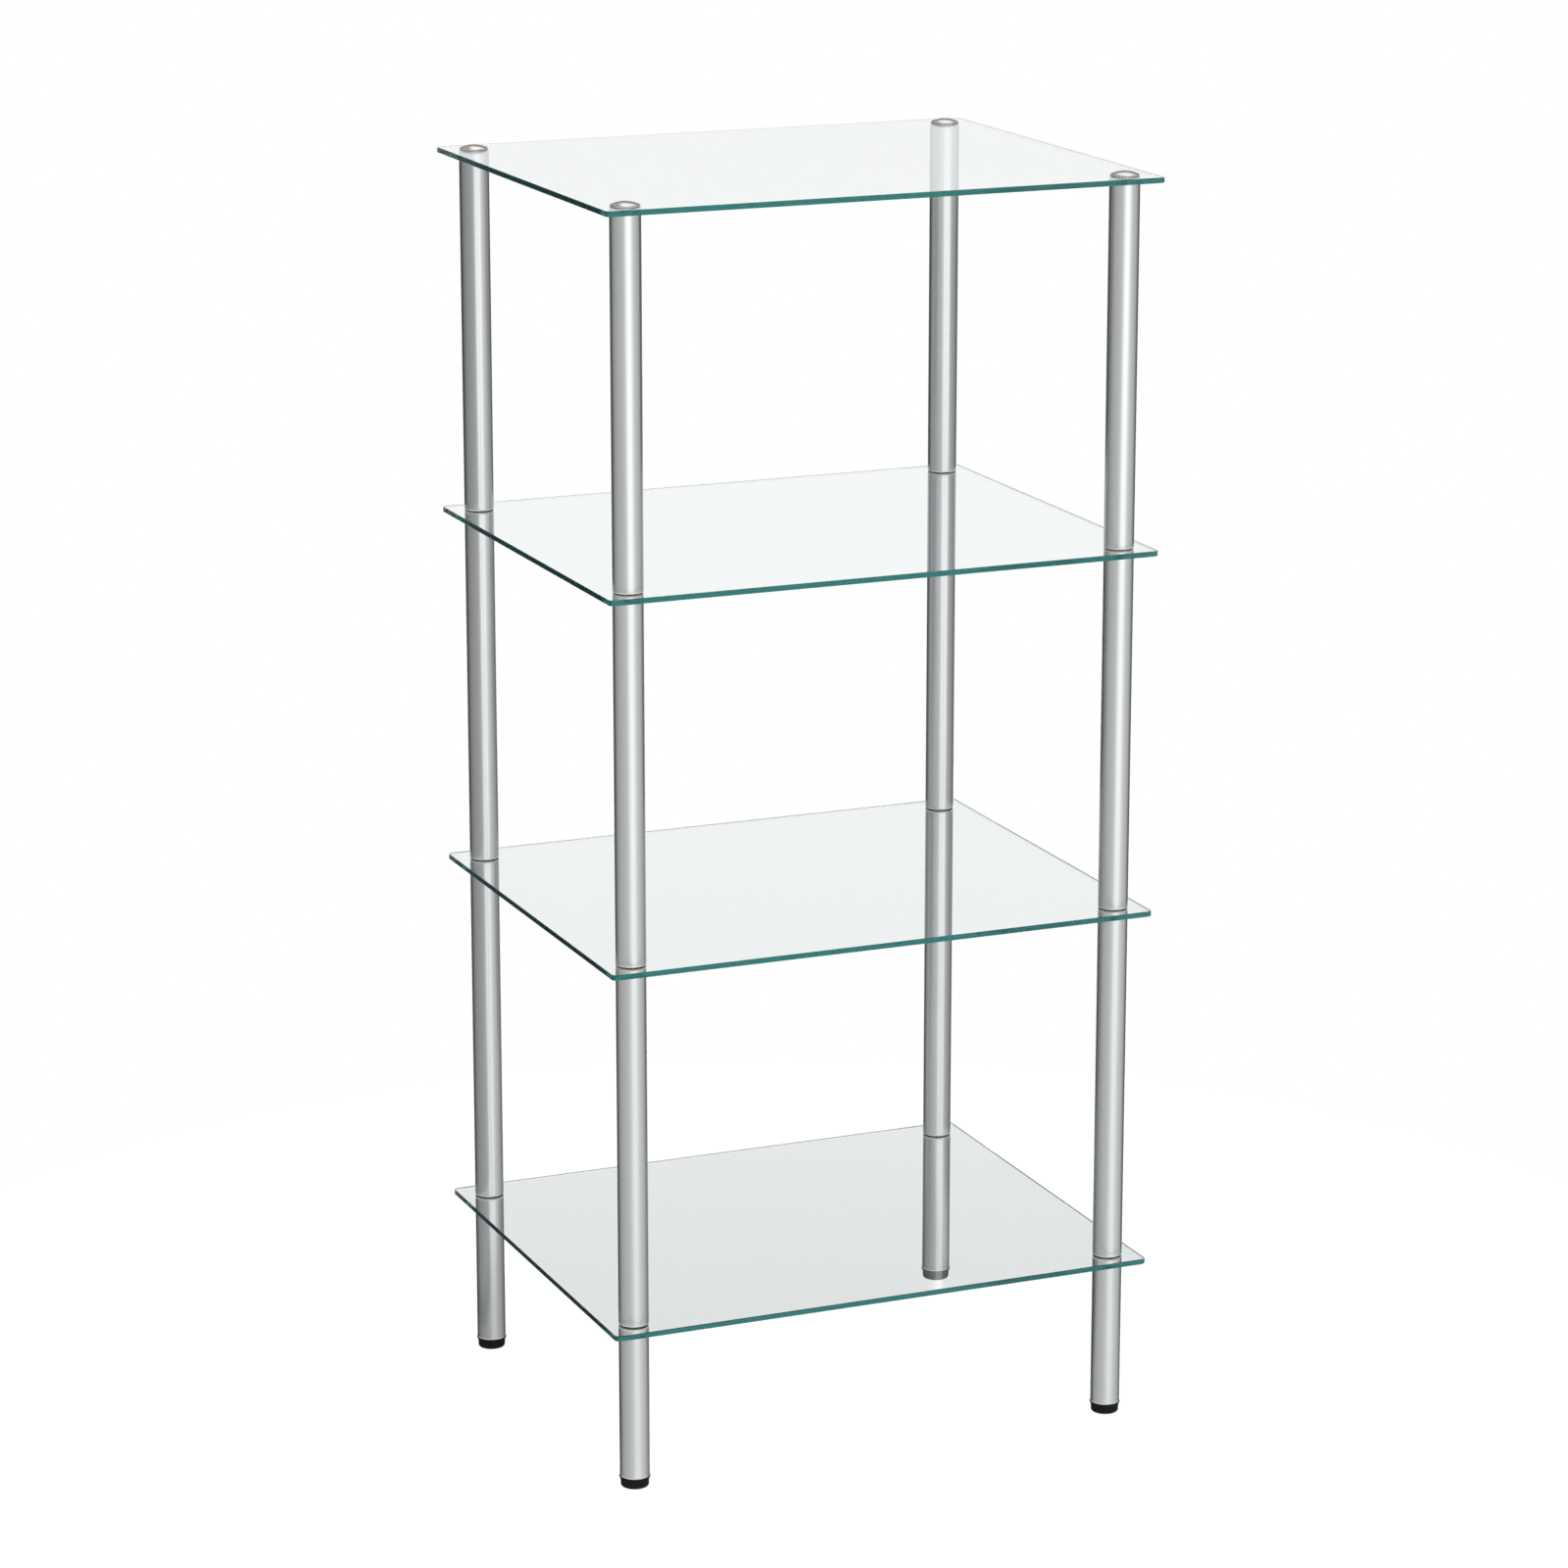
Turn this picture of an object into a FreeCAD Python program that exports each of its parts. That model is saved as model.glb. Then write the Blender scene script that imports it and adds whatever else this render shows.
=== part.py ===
import FreeCAD, Part
import math
import os

# Glass etagere: four glass shelves held at their corners by four screwed-together columns.
# Millimetres, +Z up. The shelves' long edges run along X, and the front faces -Y.
# The origin is on the floor, midway between the four feet.

# Glass shelves
shelf_width = 424.0
shelf_depth = 352.0
glass_thickness = 4.0
corner_radius = 4.0
arris = 0.4                 # bevel ground on every edge of the glass
column_inset = 22.0         # from a column's axis to the two glass edges beside it

# Tubes
tube_diameter = 22.0
tube_wall = 1.0
tube_end_land = 0.2         # flat ring left on a tube's end inside its rounded rim
leg_length = 112.7
upright_length = 265.4

# Threaded parts inside the columns
thread_diameter = 8.0
thread_clearance = 0.05     # radial, between a thread and its tapped hole
thread_point = 1.0          # bevel on the end of a thread
thread_engagement = 14.0    # length of a stud or shank that is held in an insert
insert_length = 20.0
insert_clearance = 0.02     # radial, between an insert and the tube's bore
insert_bevel = 0.5

# Soft washers that clamp the glass, and sleeves that line its holes
washer_thickness = 0.3
washer_setback = 0.4        # how far a washer's rim lies inside the tube's surface
washer_clearance = 0.1      # radial, between a washer and the stud
sleeve_wall = 1.2
sleeve_shortfall = 0.5      # how far a sleeve stops below the top of the glass
sleeve_clearance = 0.1      # radial, between a sleeve and the stud
hole_clearance = 0.2        # radial, between a sleeve and the glass

# Caps on the top shelf
cap_setback = 0.3           # how far the cap's rim lies inside the tube's surface
cap_rim_round = 0.4
cap_height = 3.1

# Feet
foot_height = 8.0
foot_lip_height = 1.0
foot_lip_overhang = 0.4     # how far the lip stands out past the tube
foot_lip_step = 0.8         # from the lip in to the foot's side
foot_taper = 0.4            # how far the side draws in from lip to floor
foot_edge_round = 1.5
stem_seat = 5.0             # depth of steel stem held in the plastic
stem_clearance = 0.02       # radial, between the stem and its socket
stem_length = 18.0          # length of stem that stands out of the foot

# Sizes that follow from the ones above
tube_radius = tube_diameter / 2
tube_bore_radius = tube_radius - tube_wall
tube_end_round = tube_wall - tube_end_land
thread_radius = thread_diameter / 2
tapped_radius = thread_radius + thread_clearance
insert_radius = tube_bore_radius - insert_clearance
washer_radius = tube_radius - washer_setback
washer_bore_radius = thread_radius + washer_clearance
sleeve_bore_radius = thread_radius + sleeve_clearance
sleeve_radius = sleeve_bore_radius + sleeve_wall
sleeve_height = glass_thickness - sleeve_shortfall
glass_hole_radius = sleeve_radius + hole_clearance
clamp_thickness = glass_thickness + 2 * washer_thickness
stud_length = clamp_thickness + 2 * thread_engagement
shank_length = clamp_thickness + thread_engagement
cap_radius = tube_radius - cap_setback
foot_lip_radius = tube_radius + foot_lip_overhang
foot_top_radius = foot_lip_radius - foot_lip_step
foot_floor_radius = foot_top_radius - foot_taper

# Places
column_x = shelf_width / 2 - column_inset
column_y = shelf_depth / 2 - column_inset
columns = {
    "front_left": (-column_x, -column_y),
    "front_right": (column_x, -column_y),
    "back_left": (-column_x, column_y),
    "back_right": (column_x, column_y),
}
shelf_names = ["bottom_shelf", "lower_shelf", "upper_shelf", "top_shelf"]
tier_names = ["lower_upright", "middle_upright", "upper_upright"]
leg_bottom = foot_height
shelf_pitch = upright_length + clamp_thickness
first_clamp = leg_bottom + leg_length
clamp_bottoms = [first_clamp + level * shelf_pitch for level in range(len(shelf_names))]


def rims(shape, height=None):
    """Round edges of a turned shape, all of them or only those at one height."""
    rounds = [edge for edge in shape.Edges if edge.isClosed()]
    if height is None:
        return rounds
    return [edge for edge in rounds if math.isclose(edge.CenterOfMass.z, height, abs_tol=1e-6)]


def at(shape, x, y, z):
    """Copy of a shape moved to a place."""
    return shape.translated(FreeCAD.Vector(x, y, z))


def turned(edges):
    """Solid made by turning a closed half-section, drawn in the XZ plane, about the Z axis."""
    section = Part.Face(Part.Wire(edges))
    return section.revolve(FreeCAD.Vector(0, 0, 0), FreeCAD.Vector(0, 0, 1), 360)


def section_point(point):
    """Place of a (radius, height) point of a half-section."""
    radius, height = point
    return FreeCAD.Vector(radius, 0, height)


def section_line(start, end):
    """Straight edge of a half-section."""
    return Part.LineSegment(section_point(start), section_point(end)).toShape()


def section_arc(start, middle, end):
    """Round edge of a half-section through three points."""
    return Part.Arc(section_point(start), section_point(middle), section_point(end)).toShape()


def section_outline(points):
    """Straight edges round a closed half-section."""
    return [section_line(a, b) for a, b in zip(points, points[1:] + points[:1])]


def make_shelf():
    """Glass plate on the origin plane, with rounded corners, column holes and bevelled edges."""
    corner = FreeCAD.Vector(-shelf_width / 2, -shelf_depth / 2, 0)
    plate = Part.makeBox(shelf_width, shelf_depth, glass_thickness, corner)
    standing = [edge for edge in plate.Edges if edge.BoundBox.ZLength > glass_thickness / 2]
    plate = plate.makeFillet(corner_radius, standing)
    for x, y in columns.values():
        plate = plate.cut(Part.makeCylinder(glass_hole_radius, glass_thickness, FreeCAD.Vector(x, y, 0)))
    lying = [edge for edge in plate.Edges if edge.BoundBox.ZLength < glass_thickness / 2]
    return plate.makeChamfer(arris, lying)


def make_tube(length):
    """Tube standing on the origin, with rounded outer rims and a straight bore."""
    bar = Part.makeCylinder(tube_radius, length)
    bar = bar.makeFillet(tube_end_round, rims(bar))
    return bar.cut(Part.makeCylinder(tube_bore_radius, length))


def make_insert():
    """Tapped plug that fills the end of a tube, bevelled so that it starts into the bore."""
    plug = Part.makeCylinder(insert_radius, insert_length)
    plug = plug.makeChamfer(insert_bevel, rims(plug))
    return plug.cut(Part.makeCylinder(tapped_radius, insert_length))


def make_stud():
    """Threaded rod that joins two tubes through a shelf, bevelled at both ends."""
    rod = Part.makeCylinder(thread_radius, stud_length)
    return rod.makeChamfer(thread_point, rims(rod))


def make_ring(radius, bore_radius, height):
    """Plain ring standing on the origin."""
    return Part.makeCylinder(radius, height).cut(Part.makeCylinder(bore_radius, height))


def make_cap():
    """Cap screw: a shallow crown that rolls into a round rim, with a threaded shank below."""
    rim_centre = cap_radius - cap_rim_round
    rise = cap_height - cap_rim_round
    crown_radius = (rise**2 + rim_centre**2 - cap_rim_round**2) / (2 * (cap_height - 2 * cap_rim_round))
    crown_centre = cap_height - crown_radius
    sweep = math.atan2(rim_centre, cap_rim_round - crown_centre)

    def on_crown(angle):
        return crown_radius * math.sin(angle), crown_centre + crown_radius * math.cos(angle)

    head = turned([
        section_line((0, 0), (rim_centre, 0)),
        section_arc((rim_centre, 0), (cap_radius, cap_rim_round), on_crown(sweep)),
        section_arc(on_crown(sweep), on_crown(sweep / 2), (0, cap_height)),
        section_line((0, cap_height), (0, 0)),
    ])
    shank = Part.makeCylinder(thread_radius, shank_length, FreeCAD.Vector(0, 0, -shank_length))
    shank = shank.makeChamfer(thread_point, rims(shank, -shank_length))
    return head.fuse(shank).removeSplitter()


def make_foot():
    """Moulded foot: thin lip under the tube, tapered side, rounded lower edge, socket for the stem."""
    lip_bottom = foot_height - foot_lip_height
    body = turned(section_outline([
        (0, 0),
        (foot_floor_radius, 0),
        (foot_top_radius, lip_bottom),
        (foot_lip_radius, lip_bottom),
        (foot_lip_radius, foot_height),
        (0, foot_height),
    ]))
    body = body.makeFillet(foot_edge_round, rims(body, 0))
    socket_bottom = FreeCAD.Vector(0, 0, foot_height - stem_seat)
    return body.cut(Part.makeCylinder(thread_radius + stem_clearance, stem_seat, socket_bottom))


def make_stem():
    """Threaded steel stem of a foot, seated in the foot's socket."""
    stem_bottom = FreeCAD.Vector(0, 0, foot_height - stem_seat)
    rod = Part.makeCylinder(thread_radius, stem_seat + stem_length, stem_bottom)
    return rod.makeChamfer(thread_point, rims(rod, foot_height + stem_length))


def one_per_column(nodes, name, shape, z):
    """Add one node per column, named after the column's corner."""
    for corner, (x, y) in columns.items():
        nodes[f"{name}_{corner}"] = at(shape, x, y, z)


def set_of_columns(nodes, name, shape, z):
    """Add one node that holds a separate solid on each column."""
    nodes[name] = Part.makeCompound([at(shape, x, y, z) for x, y in columns.values()])


def add_tubes(nodes, name, length, bottom):
    """Add a tier of tubes and the inserts in their two ends."""
    insert = make_insert()
    one_per_column(nodes, name, make_tube(length), bottom)
    set_of_columns(nodes, f"{name}_bottom_inserts", insert, bottom)
    set_of_columns(nodes, f"{name}_top_inserts", insert, bottom + length - insert_length)


def build():
    """Every node of the etagere by name."""
    nodes = {}
    one_per_column(nodes, "foot", make_foot(), 0)
    one_per_column(nodes, "foot_stem", make_stem(), 0)
    add_tubes(nodes, "leg", leg_length, leg_bottom)
    shelf = make_shelf()
    washer = make_ring(washer_radius, washer_bore_radius, washer_thickness)
    sleeve = make_ring(sleeve_radius, sleeve_bore_radius, sleeve_height)
    for name, bottom in zip(shelf_names, clamp_bottoms):
        underside = bottom + washer_thickness
        nodes[name] = at(shelf, 0, 0, underside)
        set_of_columns(nodes, f"{name}_washers", washer, bottom)
        set_of_columns(nodes, f"{name}_sleeves", sleeve, underside)
    for name, bottom in zip(tier_names + ["cap"], clamp_bottoms):
        set_of_columns(nodes, f"{name}_washers", washer, bottom + washer_thickness + glass_thickness)
    for tier, below, bottom in zip(tier_names, shelf_names, clamp_bottoms):
        set_of_columns(nodes, f"{below}_studs", make_stud(), bottom - thread_engagement)
        add_tubes(nodes, tier, upright_length, bottom + clamp_thickness)
    one_per_column(nodes, "cap", make_cap(), clamp_bottoms[-1] + clamp_thickness)
    return nodes


os.makedirs("parts", exist_ok=True)
for node_name, node_shape in build().items():
    node_shape.exportStep(f"parts/{node_name}.step")
    print(node_name, "solids:", len(node_shape.Solids), "mm3:", round(node_shape.Volume, 1))
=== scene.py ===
# %% [markdown]
# # A glass etagere
# Four glass shelves are clamped between screwed-together columns of silver tube. This notebook dresses
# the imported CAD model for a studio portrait. The model comes in as a fixed frame, finer surfaces take the
# place of the pieces that show, every piece gets a finish made of shader nodes, and then come the floor,
# the light and the camera. Lengths are metres, +Z is up, the front faces -Y, and the floor is at zero.

import math
from collections import namedtuple

import bmesh
import bpy
import numpy as np
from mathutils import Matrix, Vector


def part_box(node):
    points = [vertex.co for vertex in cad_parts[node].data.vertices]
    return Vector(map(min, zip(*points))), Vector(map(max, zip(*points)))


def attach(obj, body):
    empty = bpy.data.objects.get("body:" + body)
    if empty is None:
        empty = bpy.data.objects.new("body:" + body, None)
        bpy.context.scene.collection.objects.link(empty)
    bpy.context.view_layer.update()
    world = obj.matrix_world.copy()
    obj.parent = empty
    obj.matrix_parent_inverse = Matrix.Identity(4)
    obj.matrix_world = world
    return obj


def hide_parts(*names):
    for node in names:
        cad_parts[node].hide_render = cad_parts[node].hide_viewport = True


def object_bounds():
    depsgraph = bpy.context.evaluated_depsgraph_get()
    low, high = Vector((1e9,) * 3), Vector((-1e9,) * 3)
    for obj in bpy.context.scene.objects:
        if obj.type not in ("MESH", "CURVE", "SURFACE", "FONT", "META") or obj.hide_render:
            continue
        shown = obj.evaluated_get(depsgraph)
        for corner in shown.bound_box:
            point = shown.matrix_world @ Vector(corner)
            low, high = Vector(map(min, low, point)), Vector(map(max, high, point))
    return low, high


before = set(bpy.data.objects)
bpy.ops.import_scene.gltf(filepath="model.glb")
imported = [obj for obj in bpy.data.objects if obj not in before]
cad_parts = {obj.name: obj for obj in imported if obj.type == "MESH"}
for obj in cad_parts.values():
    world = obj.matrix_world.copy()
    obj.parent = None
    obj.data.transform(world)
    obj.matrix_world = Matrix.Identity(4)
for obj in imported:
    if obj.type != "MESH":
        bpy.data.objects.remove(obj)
cad_low, cad_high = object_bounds()
print("CAD box:", tuple(cad_low), tuple(cad_high))

# %% [markdown]
# ## Where things stand
# Nearly everything on the etagere is turned: tubes, caps, feet, washers. A turned piece is known by its
# upright axis, its bottom and top, and its widest radius. All of these can be read from the box round its
# CAD node, so no place has to be typed in twice, and a change in the CAD model moves the dressed piece too.

# %% Measure the columns
Place = namedtuple("Place", "x y bottom top radius")
corners = ["front_left", "front_right", "back_left", "back_right"]
shelves = ["bottom_shelf", "lower_shelf", "upper_shelf", "top_shelf"]


def place_of(node):
    """Axis, bottom, top and radius of a turned CAD node, read from the box round it.
    They are the box's middle, its lowest and highest point, and half its width."""
    low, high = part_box(node)
    return Place((low.x + high.x) / 2, (low.y + high.y) / 2, low.z, high.z, (high.x - low.x) / 2)


columns = {corner: place_of(f"leg_{corner}") for corner in corners}
column_x = columns["back_right"].x
column_y = columns["back_right"].y
tube_radius = columns["back_right"].radius
print(f"columns at +-{column_x:.4f}, +-{column_y:.4f}, tube radius {tube_radius:.4f}")

# %% [markdown]
# ## From grids to a mesh
# Each surface below is a grid of points worked out as one numpy array: one direction runs along a profile,
# the other round an axis or along an outline. A mesh could be grown face by face with editing operators,
# but whole arrays are quicker and keep the formula in sight. Neighbouring points become quads. Where a grid
# meets itself or another grid, equal points are welded, which closes seams and poles, and then the normals
# are turned outwards. Two numbers can be stored on the way for the finishes to read: how much a point lies
# on a worn edge or carries painted light or shade, and how rough a face was ground.

# %% Grids, welding and shading
Grid = namedtuple("Grid", "points close_rows close_columns wear ground")
weld_distance = 1e-7


def grid(points, close_rows=False, close_columns=True, wear=None, ground=0.0):
    """A grid of points with rows x columns x 3 numbers, and what the finishes need to know about it."""
    wear = np.zeros(points.shape[:2]) if wear is None else np.broadcast_to(wear, points.shape[:2])
    return Grid(points, close_rows, close_columns, wear, ground)


def grid_quads(part, first):
    """Corner numbers of a grid's quads: a point, the next in its row, and the same two in the next row."""
    rows, columns_ = part.points.shape[:2]
    row = np.arange(rows if part.close_rows else rows - 1)[:, None]
    column = np.arange(columns_ if part.close_columns else columns_ - 1)[None, :]
    next_row, next_column = (row + 1) % rows, (column + 1) % columns_
    quads = np.stack([
        row * columns_ + column,
        row * columns_ + next_column,
        next_row * columns_ + next_column,
        next_row * columns_ + column,
    ], axis=-1)
    return first + quads.reshape(-1, 4)


def make_piece(name, parts, sharp_angle=35):
    """One object from several grids: points in a row, quads, weld, outward normals, smooth shading.
    A sheet that doesn't close, such as a floor, is printed with the number of its open edges."""
    counts = [part.wear.size for part in parts]
    firsts = np.concatenate([[0], np.cumsum(counts)[:-1]])
    points = np.concatenate([part.points.reshape(-1, 3) for part in parts])
    quads = [grid_quads(part, first) for part, first in zip(parts, firsts)]
    mesh = bpy.data.meshes.new(name)
    mesh.from_pydata(points.tolist(), [], np.concatenate(quads).tolist())
    wear = mesh.attributes.new("edge_wear", "FLOAT", "POINT")
    wear.data.foreach_set("value", np.concatenate([part.wear.ravel() for part in parts]).astype(np.float32))
    ground = mesh.attributes.new("ground", "FLOAT", "FACE")
    ground_values = [np.full(len(q), part.ground) for part, q in zip(parts, quads)]
    ground.data.foreach_set("value", np.concatenate(ground_values).astype(np.float32))

    shell = bmesh.new()
    shell.from_mesh(mesh)
    bmesh.ops.remove_doubles(shell, verts=shell.verts, dist=weld_distance)
    bmesh.ops.recalc_face_normals(shell, faces=shell.faces)
    open_edges = sum(not edge.is_manifold for edge in shell.edges)
    shell.to_mesh(mesh)
    shell.free()
    mesh.shade_smooth()
    mesh.set_sharp_from_angle(angle=math.radians(sharp_angle))

    piece = bpy.data.objects.new(name, mesh)
    bpy.context.scene.collection.objects.link(piece)
    if open_edges:
        print(f"{name}: {open_edges} open edges")
    return piece


def stand_in(piece, body, slot, *nodes):
    """Let a piece ride on a body and stand for CAD nodes. The slot is not used."""
    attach(piece, body)
    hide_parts(*nodes)
    return piece


# %% [markdown]
# ## Turning
# A lathe makes a round piece from a half-section, and so does this notebook: a profile of (radius, height)
# points goes round an axis. A profile that starts and ends on the axis gives a solid such as a foot. One
# that closes on itself gives a ring or a tube with a bore. Blender's Spin operator or Screw modifier would
# also do it, but here the angle is simply the grid's second direction. Rounds are arcs sampled in the
# profile, and these small rounds matter: they carry the thin bright lines at every tube end, partly light
# that they catch and partly painted highlight.

# %% Profiles and turned surfaces
def arc(radius, height, size, start, end, count=9):
    """Points of a round in a half-section: centre plus size times the cosine and sine of angles.
    The angles are given in degrees."""
    angle = np.radians(np.linspace(start, end, count))
    return np.stack([radius + size * np.cos(angle), height + size * np.sin(angle)], axis=1)


def turned(profile, x, y, steps=96, closed=False, wear=None):
    """Grid of a profile turned about an upright axis.
    A profile point goes round a circle: x plus radius times the cosine of the angle, y plus radius times
    its sine, at the point's height."""
    angle = np.linspace(0, 2 * np.pi, steps, endpoint=False)
    radius, height = profile[:, 0, None], profile[:, 1, None]
    around = np.broadcast_arrays(x + radius * np.cos(angle), y + radius * np.sin(angle), height)
    wear = None if wear is None else np.asarray(wear)[:, None]
    return grid(np.stack(around, axis=-1), close_rows=closed, wear=wear)


# %% [markdown]
# ## Tubes
# Each column is a leg and three uprights of silver tube. A tube's outer rim is rolled over at both ends, so
# the end lands on its washer with a narrow ring and shows a soft lip. The profile runs up the outside,
# over the two rounds, and down the bore. It closes on itself, so the grid closes in both directions. A row
# of points just past each round keeps the round's smooth shading from running on along the straight wall.

# %% Tubes
tube_wall = 0.0010
tube_end_land = 0.0002
tube_end_round = tube_wall - tube_end_land
tube_end_fade = 0.0003


def make_tube(node):
    """Tube in place of a CAD node: outer wall, quarter rounds at both ends, straight bore."""
    tube = place_of(node)
    rim, bore = tube.radius - tube_end_round, tube.radius - tube_wall
    straight = tube_end_round + tube_end_fade
    profile = np.concatenate([
        arc(rim, tube.bottom + tube_end_round, tube_end_round, -90, 0, 13),
        [(tube.radius, tube.bottom + straight), (tube.radius, tube.top - straight)],
        arc(rim, tube.top - tube_end_round, tube_end_round, 0, 90, 13),
        [(bore, tube.top), (bore, tube.bottom)],
    ])
    # Painted highlight: the finish turns the rims pale cream and mostly matt where this is 1.
    from_end = np.minimum(profile[:, 1] - tube.bottom, tube.top - profile[:, 1])
    wear = np.clip((straight - from_end) / tube_end_fade, 0, 1)
    return make_piece(f"silver_{node}", [turned(profile, tube.x, tube.y, closed=True, wear=wear)])


tiers = ["leg", "lower_upright", "middle_upright", "upper_upright"]
tubes = []
for tier in tiers:
    for corner in corners:
        node = f"{tier}_{corner}"
        tubes.append(stand_in(make_tube(node), "frame", "silver_tube", node))
print(len(tubes), "tubes,", len(tubes[0].data.polygons), "faces each")

# %% [markdown]
# ## Caps
# A cap is the head of a screw that holds the top shelf down: a shallow polished crown that rolls into a
# round rim. Two arcs that touch without a corner make that shape. The crown's arc has to reach the top of
# the cap on the axis and share its tangent with the rim's arc, and one equation gives its radius. A scaled
# sphere would look similar, but its reflections would not have the break from crown to rim.

# %% Caps
cap_height = 0.0031
cap_rim_round = 0.0004
thread_radius = 0.0040
thread_point = 0.0010


def make_cap(corner):
    """Cap in place of its CAD node: shank with a bevelled point, flat underside, rim arc, crown arc.
    With rise from rim centre to top h, rim centre at radius c and rim round r, the crown's radius is
    (h squared plus c squared minus r squared) over twice (cap height minus twice r)."""
    cap = place_of(f"cap_{corner}")
    seat = cap.top - cap_height
    rim = cap.radius - cap_rim_round
    rise = cap_height - cap_rim_round
    crown = (rise**2 + rim**2 - cap_rim_round**2) / (2 * (cap_height - 2 * cap_rim_round))
    sweep = math.degrees(math.atan2(rim, crown - rise))
    profile = np.concatenate([
        [(0, cap.bottom), (thread_radius - thread_point, cap.bottom)],
        [(thread_radius, cap.bottom + thread_point), (thread_radius, seat)],
        arc(rim, seat + cap_rim_round, cap_rim_round, -90, 90 - sweep, 17),
        arc(0, cap.top - crown, crown, 90 - sweep, 90, 33)[1:],
    ])
    return make_piece(f"polished_cap_{corner}", [turned(profile, cap.x, cap.y, steps=128)])


caps = [stand_in(make_cap(corner), "frame", "polished_cap", f"cap_{corner}") for corner in corners]
print(len(caps), "caps,", len(caps[0].data.polygons), "faces each")

# %% [markdown]
# ## Feet
# The black feet are moulded plastic. A thin lip closes the tube's end, the side draws in a little towards
# the floor so that the part leaves its mould, and the lower edge is rounded so that it slides on tiles.
# The round has to touch both the floor and the slanted side, so its centre is found from the slant.

# %% Feet
foot_lip_height = 0.0010
foot_lip_step = 0.0008
foot_lip_round = 0.0003
foot_lip_wear = 0.6
foot_taper = 0.0004
foot_edge_round = 0.0015
stem_seat = 0.0050
stem_clearance = 0.00002


def make_foot(corner):
    """Foot in place of its CAD node: floor face, edge round, tapered side, lip with rounded corners, socket.
    The edge round's centre lies one round above the floor, and as far in as makes it touch the side."""
    foot = place_of(f"foot_{corner}")
    side_top = foot.radius - foot_lip_step
    side_bottom = side_top - foot_taper
    lip = foot.top - foot_lip_height
    slant = math.atan2(foot_taper, lip - foot.bottom)
    touch = foot_edge_round * (1 - math.sin(slant))
    centre = side_bottom + touch * math.tan(slant) - foot_edge_round * math.cos(slant)
    socket = thread_radius + stem_clearance
    profile = np.concatenate([
        [(0, foot.bottom)],
        arc(centre, foot.bottom + foot_edge_round, foot_edge_round, -90, -math.degrees(slant), 17),
        [(side_top, lip)],
        arc(foot.radius - foot_lip_round, lip + foot_lip_round, foot_lip_round, -90, 0, 5),
        arc(foot.radius - foot_lip_round, foot.top - foot_lip_round, foot_lip_round, 0, 90, 5),
        [(socket, foot.top), (socket, foot.top - stem_seat), (0, foot.top - stem_seat)],
    ])
    wear = np.exp(-(profile[:, 1] - foot.bottom) / foot_edge_round)
    wear[profile[:, 0] > foot.radius - foot_lip_round] = foot_lip_wear
    return make_piece(f"moulded_foot_{corner}", [turned(profile, foot.x, foot.y, wear=wear)])


feet = [stand_in(make_foot(c), f"{c}_foot", "black_foot", f"foot_{c}") for c in corners]
print(len(feet), "feet,", len(feet[0].data.polygons), "faces each")

# %% [markdown]
# ## Threads
# A foot screws into its leg on a steel stem, which comes into view when the foot is let down. A thread is
# a ridge that climbs one pitch per turn, so the radius depends on height and angle together: the grid is
# still rows along the stem and columns round it, and only the radius changes from point to point. A copied
# and screwed profile would need its ends trimmed. Here the ridge fades out at the point by itself.

# %% Threaded stems
thread_pitch = 0.00125
thread_depth = 0.00065
thread_flat = 0.2
rows_per_pitch = 10
thread_columns = 64


def make_stem(corner):
    """Stem in place of its CAD node, with a thread worked out as a radius.
    The phase is height over pitch minus the share of a turn. The radius drops from the crest to the root as
    the phase leaves the middle of its pitch, with a flat at crest and root, and tapers at the point."""
    stem = place_of(f"foot_stem_{corner}")
    height = np.arange(stem.bottom, stem.top, thread_pitch / rows_per_pitch)[:, None]
    angle = np.linspace(0, 2 * np.pi, thread_columns, endpoint=False)[None, :]
    phase = (height / thread_pitch - angle / (2 * np.pi)) % 1
    flank = np.clip((1 + 2 * thread_flat) * np.abs(2 * phase - 1) - thread_flat, 0, 1)
    limit = np.minimum(thread_radius, thread_radius - thread_point + stem.top - height)
    radius = np.minimum(thread_radius - thread_depth * flank, limit)
    side = np.broadcast_arrays(stem.x + radius * np.cos(angle), stem.y + radius * np.sin(angle), height)
    side = np.stack(side, axis=-1)
    ends = np.array([stem.x, stem.y, 0]) + np.zeros((2, thread_columns, 3))
    ends[0, :, 2], ends[1, :, 2] = height[0], height[-1]
    rows = np.concatenate([ends[:1], side, ends[1:]])
    return make_piece(f"threaded_stem_{corner}", [grid(rows)], sharp_angle=60)


stems = [stand_in(make_stem(c), f"{c}_foot", "thread_steel", f"foot_stem_{c}") for c in corners]
print(len(stems), "stems,", len(stems[0].data.polygons), "faces each")

# %% [markdown]
# ## Washers and sleeves
# Glass must not touch steel. A thin washer lies between the glass and each tube or cap, and the rubber ones
# are the dark lines at the joints. Those under the caps are milky nylon. Washers bulge a little when they
# are clamped, so their outer edge is a shallow curve and not a sharp corner. Their grain keeps a film of air
# at the glass, so they stop just short of it: without that film the glass could not mirror inside, and dark
# rings would show all through its edges. The sleeves that line the holes can be seen through the front
# edges, so they are nylon too, painted in the edge's own green as a stand-in for the light that the edge
# carries: painted light. They are pressed in and fill their holes.

# %% Washers and sleeves
ring_clearance = 0.0001
ring_bore = thread_radius + ring_clearance
ring_bulge = 0.00010
air_film = 0.00002
sleeve_bevel = 0.0003
sleeve_spread = 0.00022


def bulged_ring(radius, bottom, top):
    """Section of a squeezed ring: radius less the bulge at both faces, full radius at half height."""
    share = np.linspace(-1, 1, 7)
    height = (bottom + top) / 2 + share * (top - bottom) / 2
    edge = np.stack([radius - ring_bulge * share**2, height], axis=1)
    return np.concatenate([[(ring_bore, bottom)], edge, [(ring_bore, top)]])


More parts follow.
